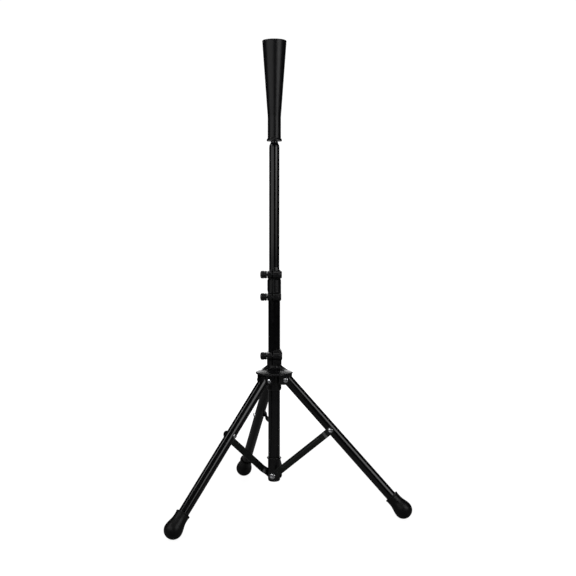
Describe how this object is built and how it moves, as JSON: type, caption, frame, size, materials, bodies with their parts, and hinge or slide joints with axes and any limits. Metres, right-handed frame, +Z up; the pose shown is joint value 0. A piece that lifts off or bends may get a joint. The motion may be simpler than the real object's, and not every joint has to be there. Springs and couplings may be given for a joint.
{
  "type": "batting tee",
  "caption": "Folding tripod batting tee with a telescoping steel mast, clamp knobs and a flared rubber ball cup.",
  "frame": {"origin": "on the floor, under the middle of the bounding box; the mast stands 70.3 mm toward -Y from it, because one of the three feet points to +Y", "axes": "+Z up along the mast; +X to the right foot's side, with the left and right feet toward -Y and the back foot at +Y"},
  "size_m": [0.5246, 0.4592, 1.002],
  "materials": {
    "gloss_black_paint": "gloss black powder paint on steel tube",
    "black_strap": "satin black painted steel strap",
    "satin_black_plastic": "satin black moulded nylon",
    "cup_rubber": "matte charcoal moulded rubber",
    "foot_rubber": "matte black moulded rubber",
    "chrome_hardware": "bright chrome plate"
  },
  "bodies": {
    "mast": {"main_tube": "gloss_black_paint", "mid_collar": "satin_black_plastic", "brace_collar": "satin_black_plastic", "upper_clamp_nut": "chrome_hardware", "lower_clamp_nut": "chrome_hardware"},
    "glide": {"tube_glide": "satin_black_plastic"},
    "upper_post": {"upper_tube": "gloss_black_paint", "cup_spigot": "gloss_black_paint", "ball_cup": "cup_rubber"},
    "hub": {"hub": "satin_black_plastic", "hub_clamp_nut": "chrome_hardware", "pivot_bolt_left": "chrome_hardware", "pivot_bolt_right": "chrome_hardware", "pivot_bolt_back": "chrome_hardware", "pivot_nut_left": "chrome_hardware", "pivot_nut_right": "chrome_hardware", "pivot_nut_back": "chrome_hardware"},
    "upper_knob": {"upper_clamp_knob": "satin_black_plastic", "upper_clamp_screw": "chrome_hardware", "upper_clamp_washer": "satin_black_plastic"},
    "lower_knob": {"lower_clamp_knob": "satin_black_plastic", "lower_clamp_screw": "chrome_hardware", "lower_clamp_washer": "satin_black_plastic"},
    "hub_knob": {"hub_clamp_knob": "satin_black_plastic", "hub_clamp_screw": "chrome_hardware", "hub_clamp_washer": "satin_black_plastic"},
    "leg_left": {"leg_tube_left": "gloss_black_paint", "leg_plug_left": "satin_black_plastic", "foot_left": "foot_rubber", "brace_bolt_left": "chrome_hardware", "brace_nut_left": "chrome_hardware", "brace_spacer_left": "satin_black_plastic"},
    "strap_left": {"brace_left": "black_strap", "brace_rivet_left": "chrome_hardware"},
    "leg_right": {"leg_tube_right": "gloss_black_paint", "leg_plug_right": "satin_black_plastic", "foot_right": "foot_rubber", "brace_bolt_right": "chrome_hardware", "brace_nut_right": "chrome_hardware", "brace_spacer_right": "satin_black_plastic"},
    "strap_right": {"brace_right": "black_strap", "brace_rivet_right": "chrome_hardware"},
    "leg_back": {"leg_tube_back": "gloss_black_paint", "leg_plug_back": "satin_black_plastic", "foot_back": "foot_rubber", "brace_bolt_back": "chrome_hardware", "brace_nut_back": "chrome_hardware", "brace_spacer_back": "satin_black_plastic"},
    "strap_back": {"brace_back": "black_strap", "brace_rivet_back": "chrome_hardware"}
  },
  "joints": [
    {"name": "post_slide", "type": "slide", "parent": "mast", "child": "glide", "axis": [0, 0, 1], "range_m": [-0.252, 0.08]},
    {"name": "post_turn", "type": "hinge", "parent": "glide", "child": "upper_post", "pos_m": [0, -0.07028, 0.6], "axis": [0, 0, 1], "continuous": true},
    {"name": "hub_slide", "type": "slide", "parent": "mast", "child": "hub", "axis": [0, 0, 1], "range_m": [0, 0.09386]},
    {"name": "upper_knob_turn", "type": "hinge", "parent": "mast", "child": "upper_knob", "pos_m": [-0.00479, -0.08815, 0.5103], "axis": [0.9659, -0.2588, 0], "range_deg": [0, 720]},
    {"name": "lower_knob_turn", "type": "hinge", "parent": "mast", "child": "lower_knob", "pos_m": [-0.00479, -0.08815, 0.4628], "axis": [0.9659, -0.2588, 0], "range_deg": [0, 720]},
    {"name": "hub_knob_turn", "type": "hinge", "parent": "hub", "child": "hub_knob", "pos_m": [-0.00479, -0.08815, 0.3367], "axis": [0.9659, -0.2588, 0], "range_deg": [0, 720]},
    {"name": "leg_fold_left", "type": "hinge", "parent": "hub", "child": "leg_left", "pos_m": [-0.02572, -0.08513, 0.285], "axis": [0.5, -0.866, 0], "range_deg": [0, 41.3]},
    {"name": "brace_fold_left", "type": "hinge", "parent": "leg_left", "child": "strap_left", "pos_m": [-0.11704, -0.12156, 0.18174], "axis": [-0.5, 0.866, 0], "range_deg": [0, 79.09]},
    {"name": "leg_fold_right", "type": "hinge", "parent": "hub", "child": "leg_right", "pos_m": [0.02572, -0.08513, 0.285], "axis": [0.5, 0.866, 0], "range_deg": [0, 41.3]},
    {"name": "brace_fold_right", "type": "hinge", "parent": "leg_right", "child": "strap_right", "pos_m": [0.10293, -0.14599, 0.18174], "axis": [-0.5, -0.866, 0], "range_deg": [0, 79.09]},
    {"name": "leg_fold_back", "type": "hinge", "parent": "hub", "child": "leg_back", "pos_m": [0, -0.04057, 0.285], "axis": [-1, 0, 0], "range_deg": [0, 41.3]},
    {"name": "brace_fold_back", "type": "hinge", "parent": "leg_back", "child": "strap_back", "pos_m": [0.0141, 0.05672, 0.18174], "axis": [1, 0, 0], "range_deg": [0, 79.09]}
  ],
  "couplings": [
    {"joint": "leg_fold_left", "follows": "hub_slide", "rad_per_m": 7.6793},
    {"joint": "brace_fold_left", "follows": "hub_slide", "rad_per_m": 14.706},
    {"joint": "leg_fold_right", "follows": "hub_slide", "rad_per_m": 7.6793},
    {"joint": "brace_fold_right", "follows": "hub_slide", "rad_per_m": 14.706},
    {"joint": "leg_fold_back", "follows": "hub_slide", "rad_per_m": 7.6793},
    {"joint": "brace_fold_back", "follows": "hub_slide", "rad_per_m": 14.706}
  ]
}
